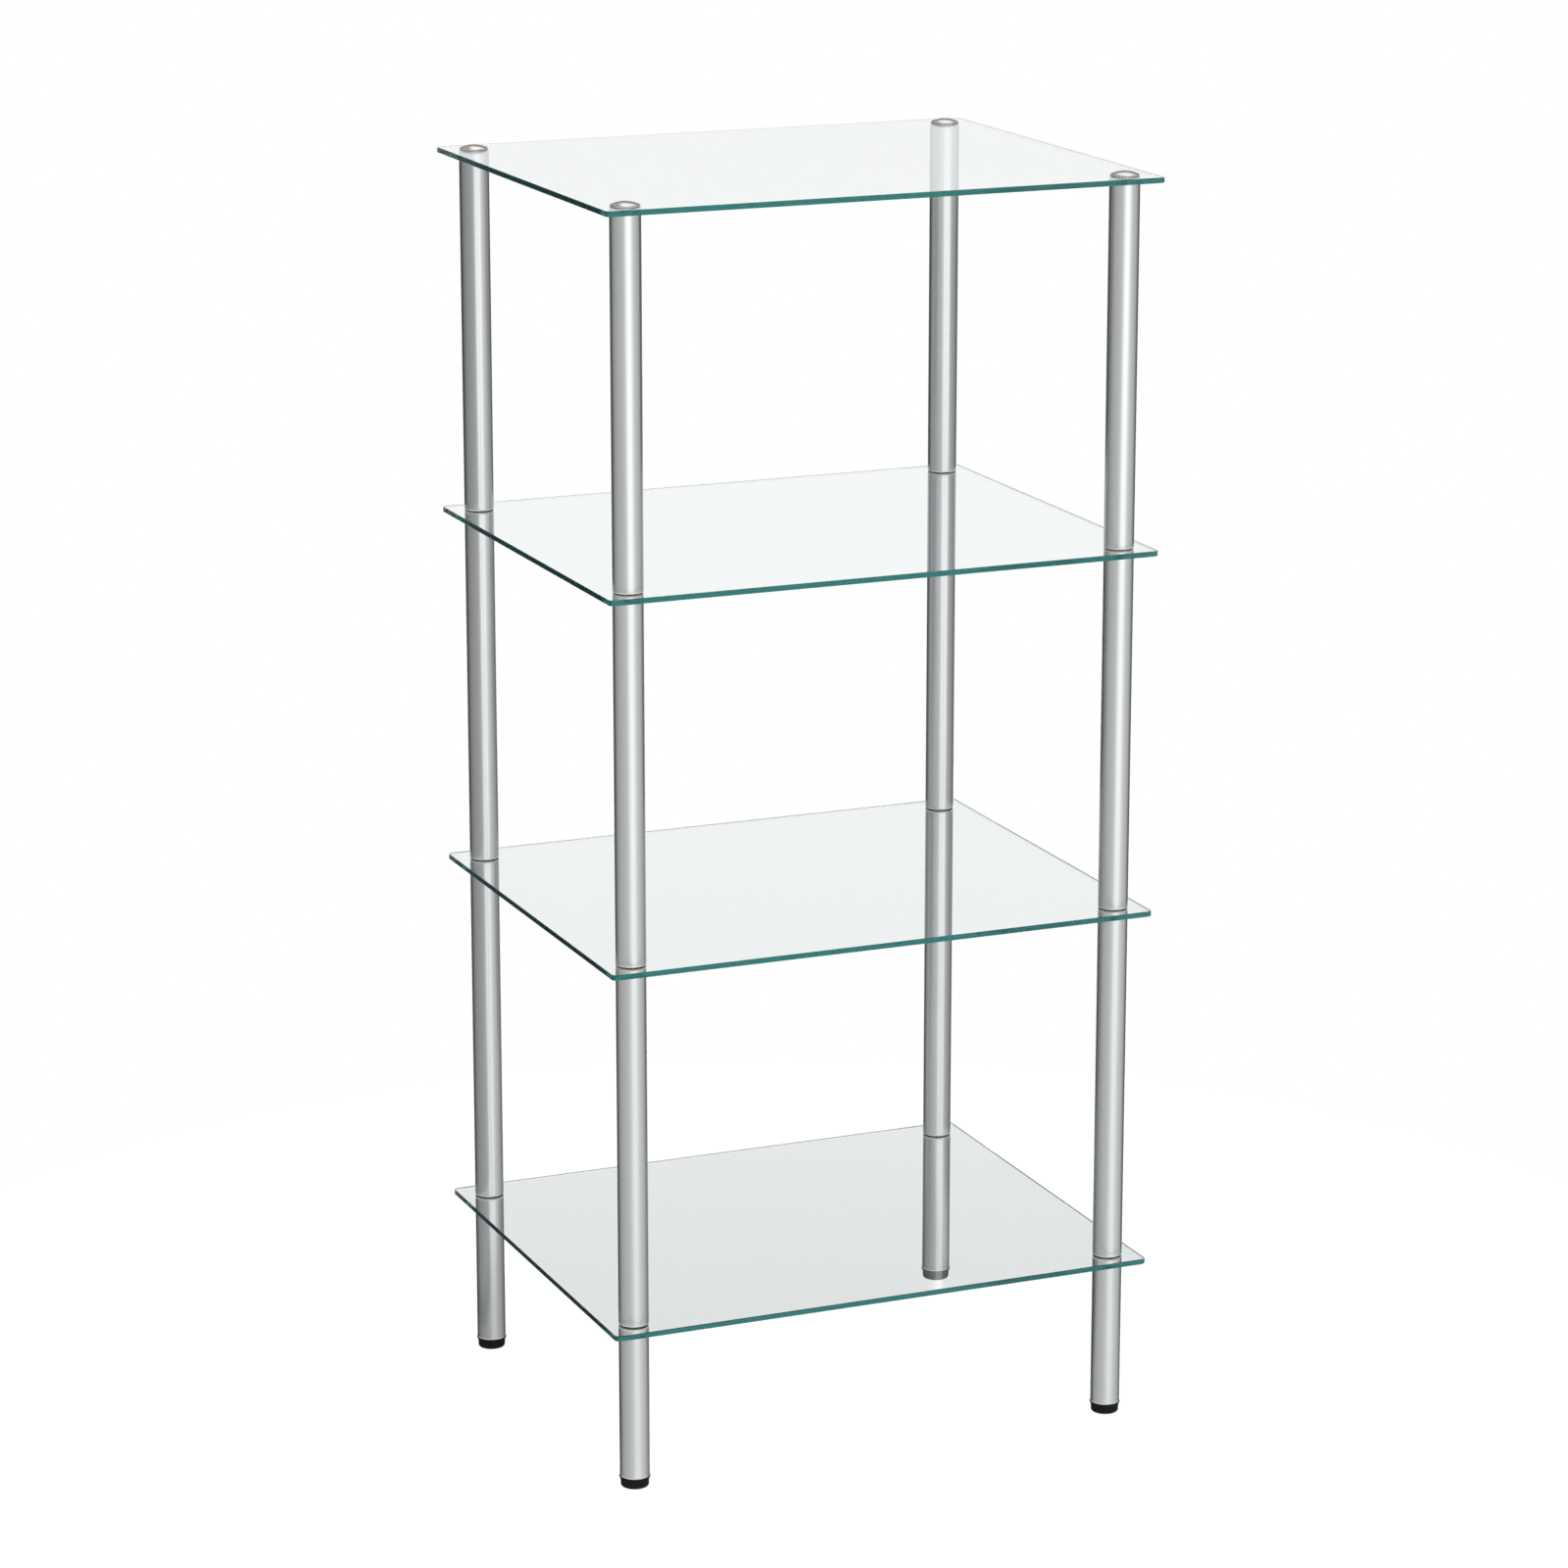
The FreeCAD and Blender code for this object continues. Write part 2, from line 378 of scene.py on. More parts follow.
def bevelled_ring(radius, bottom, top):
    """Section of a sleeve: straight wall, with a bevel at the upper outer corner to lead it in."""
    corner = [(radius, top - sleeve_bevel), (radius - sleeve_bevel, top)]
    return np.array([(ring_bore, bottom), (radius, bottom), *corner, (ring_bore, top)])


def make_rings(name, node, section, below=0.0, above=0.0, spread=0.0):
    """A section turned about all four columns, as one piece in place of a CAD node.
    It stops short by the gaps below and above, and its radius grows by the spread."""
    low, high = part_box(node)
    ring = section(high.x - column_x + spread, low.z + below, high.z - above)
    return make_piece(name, [turned(ring, p.x, p.y, steps=72, closed=True) for p in columns.values()])


washers, sleeves = [], []
for shelf in shelves:
    ring = make_rings(f"soft_washers_{shelf}", f"{shelf}_washers", bulged_ring, above=air_film)
    washers.append(stand_in(ring, "frame", "washer_rubber", f"{shelf}_washers"))
    ring = make_rings(f"nylon_sleeves_{shelf}", f"{shelf}_sleeves", bevelled_ring, spread=sleeve_spread)
    sleeves.append(stand_in(ring, "frame", "tinted_nylon", f"{shelf}_sleeves"))
for tier in tiers[1:]:
    ring = make_rings(f"soft_washers_{tier}", f"{tier}_washers", bulged_ring, below=air_film)
    washers.append(stand_in(ring, "frame", "washer_rubber", f"{tier}_washers"))
ring = make_rings("nylon_washers_cap", "cap_washers", bulged_ring, below=air_film)
cap_washers = stand_in(ring, "frame", "natural_nylon", "cap_washers")
print(len(washers), "sets of rubber washers,", len(sleeves), "sets of sleeves, and the caps' washers")

# %% [markdown]
# ## Glass shelves
# A shelf is a plate with rounded corners and a hole for each column, and every edge has a small ground bevel
# called an arris. Cutting holes with a Boolean leaves long stray faces that glass shows up at once. Instead
# the plate is laid out in quarters. From each hole, spokes run out to the quarter's outline, which gives a
# grid of spokes by steps. Mirrored four times, top and bottom, it covers the faces. The edge and the hole
# get a strip each, whose rows follow bevel, flat and bevel, and whose faces note how rough they are ground.

# %% Glass shelves
corner_radius = 0.0040
arris = 0.0004
hole_radius = 0.0055
bend_steps = 17
spoke_steps = [0, 0.12, 0.5, 1]
bevel_grind = 0.24
short_edge_grind = 0.12
long_edge_grind = 0.35


def spoke_ends(half_width, half_depth, radius):
    """Angles of the spokes round a hole, and where they end on the quarter's outline.
    A spoke ends on the nearer of the lines x = 0 or half_width and y = 0 or half_depth. Where that is
    beyond the start of the rounded corner, it ends on the corner's circle: with b the spoke's direction
    dotted with (hole minus circle centre) and q that distance squared minus radius squared, its length is
    -b plus the root of b squared minus q."""
    start = math.atan2(-column_y, half_width - column_x)
    middle = math.atan2(half_depth - column_y, -column_x)
    centre = math.atan2(-column_y, -column_x) + 2 * math.pi
    round_x, round_y = half_width - radius, half_depth - radius
    bend = np.radians(np.linspace(0, 90, bend_steps))
    bend_x, bend_y = round_x + radius * np.cos(bend), round_y + radius * np.sin(bend)
    to_bend = np.arctan2(bend_y - column_y, bend_x - column_x)
    outer = np.unique(np.concatenate([np.linspace(start, middle, 73), to_bend]).round(9))
    inner = [np.linspace(middle, centre, 13)[1:], np.linspace(centre, start + 2 * math.pi, 19)[1:-1]]
    angle = np.concatenate([outer, *inner])
    along = np.stack([np.cos(angle), np.sin(angle)], axis=1)
    hole = np.array([column_x, column_y])
    limits = np.where(along > 0, [half_width, half_depth], 0.0)
    length = np.min((limits - hole) / along, axis=1)
    ends = hole + length[:, None] * along
    offset = hole - [round_x, round_y]
    b = along @ offset
    far = -b + np.sqrt(np.maximum(b**2 - offset @ offset + radius**2, 0))
    on_bend = np.all(ends > [round_x, round_y], axis=1)
    ends[on_bend] = (hole + far[:, None] * along)[on_bend]
    return angle, ends, len(outer)


def outline_strip(ends, inset, half_width, half_depth, profile):
    """Edge strip: each outline point moves along its outward normal by the profile's first number.
    The normal points from the nearest point of the plate's square core to the outline point."""
    core = np.minimum(ends, [half_width - corner_radius, half_depth - corner_radius])
    normal = (ends - core) / np.linalg.norm(ends - core, axis=1, keepdims=True)
    moved = core + normal * (corner_radius - inset + profile[:, 0])[:, None, None]
    heights = np.broadcast_to(profile[:, 1, None, None], (*moved.shape[:2], 1))
    return np.concatenate([moved, heights], axis=-1)


def make_shelf(name):
    """Plate in place of a CAD node: faces from spokes, edge strip and hole strip, mirrored to four quarters.
    Round a corner, the grind of the edge's flat goes from the short edge's value to the long edge's."""
    low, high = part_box(name)
    angle, ends, outer = spoke_ends(high.x - arris, high.y - arris, corner_radius - arris)
    around = np.stack([np.cos(angle), np.sin(angle)], axis=1)
    rim = np.array([column_x, column_y]) + (hole_radius + arris) * around
    share = np.array(spoke_steps)[:, None, None]
    face = rim + (ends - rim) * share
    top = np.concatenate([face, np.full((*face.shape[:2], 1), high.z)], axis=-1)
    bottom = np.concatenate([face, np.full((*face.shape[:2], 1), low.z)], axis=-1)

    section = np.array([(0, high.z), (arris, high.z - arris), (arris, low.z + arris), (0, low.z)])
    edge = outline_strip(ends[:outer], arris, high.x, high.y, section)
    on_long_edge = np.clip((ends[1:outer, 1] - high.y + corner_radius) / (corner_radius - arris), 0, 1)
    edge_grind = short_edge_grind + (long_edge_grind - short_edge_grind) * on_long_edge
    hole_size = hole_radius + arris - section[:, 0]
    hole = np.array([column_x, column_y]) + hole_size[:, None, None] * around
    hole = np.concatenate([hole, np.broadcast_to(section[:, 1, None, None], (*hole.shape[:2], 1))], axis=-1)

    parts = []
    for mirror in ((1, 1, 1), (-1, 1, 1), (1, -1, 1), (-1, -1, 1)):
        parts += [grid(top * mirror), grid(bottom * mirror)]
        for strip, closed, flat_grind in ((edge, False, edge_grind), (hole, True, short_edge_grind)):
            for row, grind in ((0, bevel_grind), (1, flat_grind), (2, bevel_grind)):
                parts.append(grid(strip[row:row + 2] * mirror, close_columns=closed, ground=grind))
    return make_piece(f"glass_{name}", parts, sharp_angle=20)


plates = [stand_in(make_shelf(shelf), "frame", "glass", shelf) for shelf in shelves]
print(len(plates), "shelves,", len(plates[0].data.polygons), "faces each")

# %% [markdown]
# ## Shader sums
# A finish is a graph of nodes. Writing it link by link hides the idea, so one small class wraps a node's
# output and overloads the arithmetic: a sum of two wrapped outputs adds a Math node and gives its output.
# Every other node comes from one function, which takes its type, its settings and its inputs.

# %% Node helpers
class Wire:
    """An output of a shader node, on which arithmetic adds Math nodes."""

    def __init__(self, tree, output):
        self.tree = tree
        self.output = output

    def math(self, operation, first, second):
        return add_node(self.tree, "ShaderNodeMath", {"operation": operation}, {0: first, 1: second})

    def __add__(self, other):
        return self.math("ADD", self, other)

    def __radd__(self, other):
        return self.math("ADD", other, self)

    def __sub__(self, other):
        return self.math("SUBTRACT", self, other)

    def __rsub__(self, other):
        return self.math("SUBTRACT", other, self)

    def __mul__(self, other):
        return self.math("MULTIPLY", self, other)

    def __pow__(self, other):
        return self.math("POWER", self, other)

    def __abs__(self):
        return self.math("ABSOLUTE", self, 0.0)

    def __gt__(self, other):
        return self.math("GREATER_THAN", self, other)


def add_node(tree, kind, settings, sockets, output=0):
    """Add a node: its settings are set first, a ramp's stops among them, and then its sockets get values
    or wires. What comes back is one of its outputs."""
    node = tree.nodes.new(kind)
    for name, value in settings.items():
        if name == "stops":
            lay_stops(node.color_ramp.elements, value)
        else:
            setattr(node, name, value)
    for key, value in sockets.items():
        if isinstance(value, Wire):
            tree.links.new(value.output, node.inputs[key])
        else:
            node.inputs[key].default_value = value
    return Wire(tree, node.outputs[output])


def lay_stops(elements, stops):
    """Give a ramp its grey stops: pairs of a place from 0 to 1 and a level."""
    while len(elements) < len(stops):
        elements.new(0.5)
    for element, (place, level) in zip(elements, stops):
        element.position = place
        element.color = (level, level, level, 1)


def smooth(tree, value, start, end):
    """0 before start, 1 after end, and an S-curve between them."""
    sockets = {"Value": value, "From Min": start, "From Max": end}
    return add_node(tree, "ShaderNodeMapRange", {"interpolation_type": "SMOOTHSTEP"}, sockets)


def mix(tree, share, first, second):
    """Colour that goes from first to second as share goes from 0 to 1."""
    return add_node(tree, "ShaderNodeMix", {"data_type": "RGBA"}, {0: share, 6: first, 7: second}, 2)


def noise(tree, scales, size, detail=2.0):
    """Cloudy pattern from 0 to 1 on Object coordinates, with blobs of about one over size.
    The coordinates are multiplied by scales first, so that a small scale draws the blobs out."""
    place = add_node(tree, "ShaderNodeTexCoord", {}, {}, "Object")
    place = add_node(tree, "ShaderNodeVectorMath", {"operation": "MULTIPLY"}, {0: place, 1: scales})
    return add_node(tree, "ShaderNodeTexNoise", {}, {"Vector": place, "Scale": size, "Detail": detail})


def new_finish(name):
    """An empty finish: its tree, its Principled shader and its output node."""
    finish = bpy.data.materials.new(name)
    finish.use_nodes = True
    tree = finish.node_tree
    return finish, tree, tree.nodes["Principled BSDF"], tree.nodes["Material Output"]


def wear_and_light_of(tree):
    """How much a point lies on a worn edge, or how much painted light or shade it carries."""
    return add_node(tree, "ShaderNodeAttribute", {"attribute_name": "edge_wear"}, {}, "Fac")


def feed(shader, **sockets):
    """Give a shader's sockets values or wires; an underscore stands for a space."""
    for name, value in sockets.items():
        socket = shader.inputs[name.replace("_", " ")]
        if isinstance(value, Wire):
            value.tree.links.new(value.output, socket)
        else:
            socket.default_value = value


def bump(tree, height, strength, distance):
    """Normal of a surface that a height pattern raises by a distance."""
    sockets = {"Height": height, "Strength": strength, "Distance": distance}
    return add_node(tree, "ShaderNodeBump", {}, sockets)


# %% [markdown]
# ## Satin silver
# The tubes have a satin silver coat: metal, but with reflections blurred enough to show as soft bands. Drawn
# tube keeps fine lines along its length, so a noise is squeezed round the tube and stretched along it, and
# changes roughness and a very shallow bump. Broader clouds stand for handling. The rolled rims are painted
# pale cream and made mostly matt, a painted highlight that gives the bright line at each tube end.

# %% Satin silver
def make_satin_silver():
    finish, tree, shader, _ = new_finish("satin_silver")
    lines = noise(tree, (1, 1, 0.012), 1500, 3)
    clouds = noise(tree, (1, 1, 0.35), 38, 3)
    # Painted highlight: the rims turn pale cream and mostly matt.
    wear = wear_and_light_of(tree)
    tone = mix(tree, clouds, (0.775, 0.800, 0.805, 1), (0.825, 0.845, 0.850, 1))
    feed(
        shader,
        Base_Color=mix(tree, wear, tone, (0.94, 0.92, 0.87, 1)),
        Metallic=1 - wear * 0.8,
        Roughness=0.19 + lines * 0.06 + clouds * 0.06,
        Normal=bump(tree, lines, 0.05, 0.00005),
    )
    return finish


satin_silver = make_satin_silver()
for tube in tubes:
    tube.data.materials.append(satin_silver)
print(satin_silver.name, "on", len(tubes), "tubes")

# %% [markdown]
# ## Polished caps
# The caps are polished and plated. Their finish is all reflection, so the shape does most of the work. What
# keeps it from looking computed is a trace of polishing: fine rings round each cap's own axis, and faint
# smears where fingers have tightened it. Folding x and y to the nearest column makes one finish do for all.

# %% Polished caps
def ring_distance(tree):
    """Distance from the nearest column's axis.
    It is the root of (|x| - column_x) squared plus (|y| - column_y) squared."""
    place = add_node(tree, "ShaderNodeTexCoord", {}, {}, "Object")
    x = add_node(tree, "ShaderNodeSeparateXYZ", {}, {0: place}, 0)
    y = add_node(tree, "ShaderNodeSeparateXYZ", {}, {0: place}, 1)
    return ((abs(x) - column_x) ** 2 + (abs(y) - column_y) ** 2) ** 0.5


def make_bright_plate():
    finish, tree, shader, _ = new_finish("bright_plate")
    smears = smooth(tree, noise(tree, (1, 1, 1), 160, 4), 0.45, 0.75)
    sockets = {"W": ring_distance(tree), "Scale": 9000.0}
    rings = add_node(tree, "ShaderNodeTexNoise", {"noise_dimensions": "1D"}, sockets)
    feed(
        shader,
        Base_Color=mix(tree, smears, (0.71, 0.69, 0.655, 1), (0.65, 0.63, 0.595, 1)),
        Metallic=1.0,
        Roughness=0.05 + smears * 0.07 + rings * 0.03,
        Normal=bump(tree, rings, 0.03, 0.00002),
    )
    return finish


bright_plate = make_bright_plate()
for cap in caps:
    cap.data.materials.append(bright_plate)
print(bright_plate.name, "on", len(caps), "caps")

# %% [markdown]
# ## Moulded black plastic
# The feet come out of a mould with a fine, even grain. It is too small to model, so a dense noise drives a
# bump and lets the roughness flicker. Edges that rub on the floor are a little greyer and shinier.

# %% Moulded black plastic
def make_moulded_black():
    finish, tree, shader, _ = new_finish("moulded_black")
    grain = noise(tree, (1, 1, 1), 3500, 2)
    scuffs = wear_and_light_of(tree) * smooth(tree, noise(tree, (1, 1, 1), 420, 4), 0.40, 0.70)
    feed(
        shader,
        Base_Color=mix(tree, scuffs * 0.7, (0.0045, 0.0048, 0.0052, 1), (0.022, 0.022, 0.023, 1)),
        Roughness=0.34 + grain * 0.16 + scuffs * 0.10,
        Specular_IOR_Level=0.14,
        Normal=bump(tree, grain, 0.25, 0.00006),
    )
    return finish


moulded_black = make_moulded_black()
for foot in feet:
    foot.data.materials.append(moulded_black)
print(moulded_black.name, "on", len(feet), "feet")

# %% [markdown]
# ## Rubber and nylon
# The washers are dark rubber. Rubber is duller than the feet's plastic and has a bloom: a pale dust that
# comes to its surface in patches. The caps' washers are natural nylon, milky and faintly yellow, with soft
# flow marks from the mould. The sleeves are the same nylon, painted sea green: painted light, standing in
# for the green light in the edges where a sleeve shows through them.

# %% Rubber and nylon
def make_soft_black():
    finish, tree, shader, _ = new_finish("soft_black")
    bloom = smooth(tree, noise(tree, (1, 1, 1), 260, 4), 0.35, 0.80)
    pores = noise(tree, (1, 1, 1), 5200, 2)
    feed(
        shader,
        Base_Color=mix(tree, bloom, (0.060, 0.054, 0.050, 1), (0.110, 0.100, 0.094, 1)),
        Roughness=0.55 + bloom * 0.18 + pores * 0.08,
        Normal=bump(tree, pores, 0.20, 0.00005),
    )
    return finish


def make_nylon(name, dark, pale):
    finish, tree, shader, _ = new_finish(name)
    flow = noise(tree, (1, 1, 0.3), 420, 3)
    grain = noise(tree, (1, 1, 1), 4200, 2)
    feed(
        shader,
        Base_Color=mix(tree, flow, dark, pale),
        Roughness=0.32 + flow * 0.12,
        Normal=bump(tree, grain, 0.10, 0.00004),
    )
    return finish


soft_black = make_soft_black()
milky_nylon = make_nylon("milky_nylon", (0.80, 0.80, 0.76, 1), (0.88, 0.88, 0.86, 1))
# Painted light: the sleeves' sea green stands in for the light in the glass edges.
edge_light_nylon = make_nylon("edge_light_nylon", (0.075, 0.60, 0.53, 1), (0.095, 0.68, 0.60, 1))
for ring in washers:
    ring.data.materials.append(soft_black)
for ring in sleeves:
    ring.data.materials.append(edge_light_nylon)
cap_washers.data.materials.append(milky_nylon)
print(soft_black.name, "on washers,", edge_light_nylon.name, "on sleeves,", milky_nylon.name, "under caps")

# %% [markdown]
# ## Plated steel
# Studs, stems and inserts are zinc-plated steel: a dull metal with a faint play of straw and blue. The studs
# and inserts stay as the CAD made them, because no view reaches inside the tubes, but they get this finish.

# %% Plated steel
def make_plated_steel():
    finish, tree, shader, _ = new_finish("plated_steel")
    film = noise(tree, (1, 1, 1), 240, 3)
    spangle = noise(tree, (1, 1, 1), 2600, 2)
    feed(
        shader,
        Base_Color=mix(tree, film, (0.66, 0.62, 0.52, 1), (0.60, 0.63, 0.68, 1)),
        Metallic=1.0,
        Roughness=0.26 + film * 0.10 + spangle * 0.10,
        Normal=bump(tree, spangle, 0.06, 0.00004),
    )
    return finish


plated_steel = make_plated_steel()
for stem in stems:
    stem.data.materials.append(plated_steel)
inner = [name for name in sorted(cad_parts) if name.endswith(("_inserts", "_studs"))]
for name in inner:
    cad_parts[name].data.materials.clear()
    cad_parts[name].data.materials.append(plated_steel)
print(plated_steel.name, "on", len(stems), "stems and", len(inner), "CAD nodes")

# %% [markdown]
# ## Green-edged glass
# Float glass holds a little iron, which takes away red light. Through the thin plate this hardly shows, but
# light that enters the front edge travels the plate's whole depth and comes out deep green. Painting the
# edges green would look painted. Instead the glass absorbs light along the way with a volume, and the path
# tracer finds the edge colour. The edges are ground: satin on the long ones, which blends what is seen
# through them, and finer on the short ones. A ground face gives back no clear mirror image, so it has a
# shader of its own, without the reflection that clear glass has when seen straight on. A trace of wiping
# haze lies on the faces.

# %% Green-edged glass
glass_index = 1.5
iron_density = 7.5
iron_tint = (0.0, 0.653, 0.640, 1)


def make_green_glass():
    finish, tree, shader, end = new_finish("green_glass")
    ground = add_node(tree, "ShaderNodeAttribute", {"attribute_name": "ground"}, {}, "Fac")
    haze = smooth(tree, noise(tree, (1, 0.4, 1), 26, 4), 0.58, 0.85)
    feed(
        shader,
        Base_Color=(1, 1, 1, 1),
        IOR=glass_index,
        Transmission_Weight=1.0,
        Roughness=haze * 0.02,
    )
    ground_edge = add_node(tree, "ShaderNodeBsdfPrincipled", {}, {
        "Base Color": (1, 1, 1, 1),
        "IOR": glass_index,
        "Transmission Weight": 1.0,
        "Roughness": ground,
        "Specular Tint": (0, 0, 0, 1),
    })
    face = Wire(tree, shader.outputs["BSDF"])
    is_ground = ground > short_edge_grind / 2
    surface = add_node(tree, "ShaderNodeMixShader", {}, {0: is_ground, 1: face, 2: ground_edge})
    tree.links.new(surface.output, end.inputs["Surface"])
    iron = add_node(tree, "ShaderNodeVolumeAbsorption", {}, {"Color": iron_tint, "Density": iron_density})
    tree.links.new(iron.output, end.inputs["Volume"])
    return finish


green_glass = make_green_glass()
for plate in plates:
    plate.data.materials.append(green_glass)
print(green_glass.name, "on", len(plates), "shelves")

# %% [markdown]
# ## Floor
# The etagere stands on a plain white floor. Its feet can be let down to level it on an uneven floor, so the
# floor is laid in four quarters of a disc, and each quarter goes with the foot that stands on it: a foot
# that is let down still has its floor under it. It is a light table: most of its white comes from its own
# glow, so that shadows stay faint, and the rest from the light that falls on it. The middle glows a little
# more, where the etagere takes light away. The floor is left out of mirror images and of what shows through
# glass, as a photographer flags it off, so that the tubes show the studio and the shelves stay clear.

# %% Floor
floor_radius = 0.8
floor_gap = 0.0002
floor_crowding = 1.5


def make_floor(corner):
    """Quarter of a disc: distance times the cosine and sine of the angle, on the corner's own side.
    A power of the distance crowds the rows towards the middle."""
    column = columns[corner]
    distance = np.linspace(0, 1, 13)[:, None] ** floor_crowding * floor_radius
    angle = np.linspace(0, np.pi / 2, 25)[None, :]
    x = math.copysign(1, column.x) * distance * np.cos(angle)
    y = math.copysign(1, column.y) * distance * np.sin(angle)
    points = np.stack([x, y, np.full_like(x, -floor_gap)], axis=-1)
    if column.x * column.y < 0:
        points = points[:, ::-1]
    floor = make_piece(f"floor_{corner}", [grid(points, close_columns=False)])
    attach(floor, f"{corner}_foot")
    floor.visible_glossy = False
    floor.visible_transmission = False
    return floor


def make_matt_white():
    finish, tree, shader, _ = new_finish("matt_white")
    mottle = noise(tree, (1, 1, 1), 9, 3)
    place = add_node(tree, "ShaderNodeTexCoord", {}, {}, "Object")
    distance = add_node(tree, "ShaderNodeVectorMath", {"operation": "LENGTH"}, {0: place}, 1)
    outward = smooth(tree, distance, 0.2, 0.7)
    feed(
        shader,
        Base_Color=mix(tree, mottle, (0.210, 0.210, 0.208, 1), (0.230, 0.230, 0.230, 1)),
        Roughness=0.85 + mottle * 0.1,
        Specular_IOR_Level=0.1,
        Emission_Color=mix(tree, outward, (0.93, 0.93, 0.93, 1), (0.87, 0.87, 0.87, 1)),
        Emission_Strength=1.0,
    )
    return finish


matt_white = make_matt_white()
floors = [make_floor(corner) for corner in corners]
for floor in floors:
    floor.data.materials.append(matt_white)
print(len(floors), "quarters of floor")

# %% [markdown]
# ## Nets of painted shade
# The nets are painted shade: dark sheets that only mirror images meet, which darken what the back columns
# mirror, so that they look darker than the front ones. One stands on either side, clear of the shelves,
# while the front columns look past it. A dark card would show as a hard edge. A net on the floor paints the
# shade under the shelves into the back legs' reflections. The nets thin out towards their ends.

# %% Nets
net_top = 0.93
net_bottom = 0.0
net_soft_edge = 0.07
shade_density = 0.32
net_steps = 25
net_places = {"left": (-0.25, -0.05, 0.30), "right": (0.39, -0.18, 0.23)}
low_net_height = 0.0005
low_net_width = (-0.35, 0.25)
low_net_depth = (-0.11, 0.30)


def soft_ends(place):
    """How far the points of a line lie from its nearer end, as a share of the soft edge, up to 1."""
    return np.clip(np.minimum(place - place.min(), place.max() - place) / net_soft_edge, 0, 1)


def make_net(name, x, y, z, wear):
    """Flat sheet of painted shade with its points at x, y, z, which only mirror images meet.
    The finish reads the number at each point as the density of the shade, so the net thins out where it
    falls to 0."""
    points = np.stack(np.broadcast_arrays(x, y, z), axis=-1)
    net = make_piece(name, [grid(points, close_columns=False, wear=wear)])
    net.visible_camera = False
    net.visible_diffuse = False
    net.visible_transmission = False
    return net


def make_side_net(side):
    """Upright sheet of painted shade beside the shelves: depth along one direction of the grid, height along
    the other.
    """
    distance, start, end = net_places[side]
    depth = np.linspace(start, end, net_steps)[:, None]
    height = np.linspace(net_bottom, net_top, 2)[None, :]
    return make_net(f"net_{side}", distance, depth, height, soft_ends(depth))


def make_low_net():
    """Level sheet of painted shade under the shelves: width along one direction of the grid, depth along the
    other.
    """
    width = np.linspace(*low_net_width, net_steps)[:, None]
    depth = np.linspace(*low_net_depth, net_steps)[None, :]
    wear = np.minimum(soft_ends(width), soft_ends(depth))
    return make_net("net_below", width, depth, low_net_height, wear)


def make_shade_net():
    # Painted shade: a dark, partly clear sheet that only mirror images meet.
    finish, tree, shader, _ = new_finish("shade_net")
    weave = noise(tree, (1, 1, 1), 900, 2)
    feed(
        shader,
        Base_Color=mix(tree, weave, (0.01, 0.01, 0.01, 1), (0.03, 0.03, 0.03, 1)),
        Roughness=0.9,
        Specular_IOR_Level=0.0,
        Alpha=wear_and_light_of(tree) * shade_density,
    )
    return finish


shade_net = make_shade_net()
nets = [make_side_net(side) for side in net_places] + [make_low_net()]
for net in nets:
    net.data.materials.append(shade_net)
print(len(nets), "nets")

# %% [markdown]
# ## Camera
# The portrait is taken from the front left, half a metre above the top shelf, with a long lens that keeps
# the columns nearly parallel. The camera stands at a point, turns to the right and tilts down. It has no
# shift and no depth of field, so that it can be walked round the object.

# %% Camera
camera_point = (-1.46513, -3.46394, 1.45841)
camera_turn = 0.3983
camera_tilt = 0.2569
camera_lens = 119.91
camera_sensor = 36.0

camera_data = bpy.data.cameras.new("portrait")
camera_data.lens = camera_lens
camera_data.sensor_width = camera_sensor
camera = bpy.data.objects.new("portrait", camera_data)
camera.location = camera_point
camera.rotation_euler = (math.pi / 2 - camera_tilt, 0, -camera_turn)
bpy.context.scene.collection.objects.link(camera)
bpy.context.scene.camera = camera
middle = (0, 0, (cad_low[2] + cad_high[2]) / 2)
print(f"camera {math.dist(camera_point, middle):.2f} m from the middle of the etagere")

# %% [markdown]
# ## Studio light
# Metal and glass show what stands round them, so the studio is drawn as a sky by direction. A tube mirrors
# the whole ring of bearings round it, from the wall behind it at its outlines to the camera's side in its
# middle, so one ramp of brightness over the bearing draws its bands from left to right: dark back wall,
# grey left wall, a bright panel to the right of the camera, grey right wall, dark back wall. A second,
# softer ramp serves the legs, which mirror lower directions. A low panel behind lights the tubes for views
# from the back, a glow above the dark horizon there lies on the glass, lamps on the ceiling sparkle in the
# caps, and a panel underneath, which only matt surfaces see, lights the tubes' pale rims.
#
# What the lens sees directly, or through clear glass, is plain white. Light that has met metal or the floor
# comes from the studio, also where it passes a shelf on its way. Light that has been mirrored many times
# has run far inside a shelf. It is greyer, and darker where it came in from the front or the right.

# %% Studio light
upright_ring = [
    (-180, 0.95), (-160, 0.95), (-153, 0.05), (-128, 0.05), (-116, 0.14), (-104, 0.27), (-88, 0.38),
    (-60, 0.46), (-25, 0.55), (-8, 0.63), (6, 1.15), (14, 1.35), (34, 1.35), (44, 1.05), (60, 0.66),
    (90, 0.53), (112, 0.40), (126, 0.22), (136, 0.10), (153, 0.10), (160, 0.95), (180, 0.95),
]
leg_ring = [
    (-180, 0.95), (-160, 0.95), (-153, 0.07), (-128, 0.08), (-116, 0.20), (-104, 0.32), (-88, 0.42),
    (-60, 0.49), (-25, 0.58), (0, 0.69), (20, 0.80), (38, 0.80), (60, 0.69), (90, 0.55), (112, 0.40),
    (126, 0.24), (136, 0.14), (153, 0.12), (160, 0.95), (180, 0.95),
]
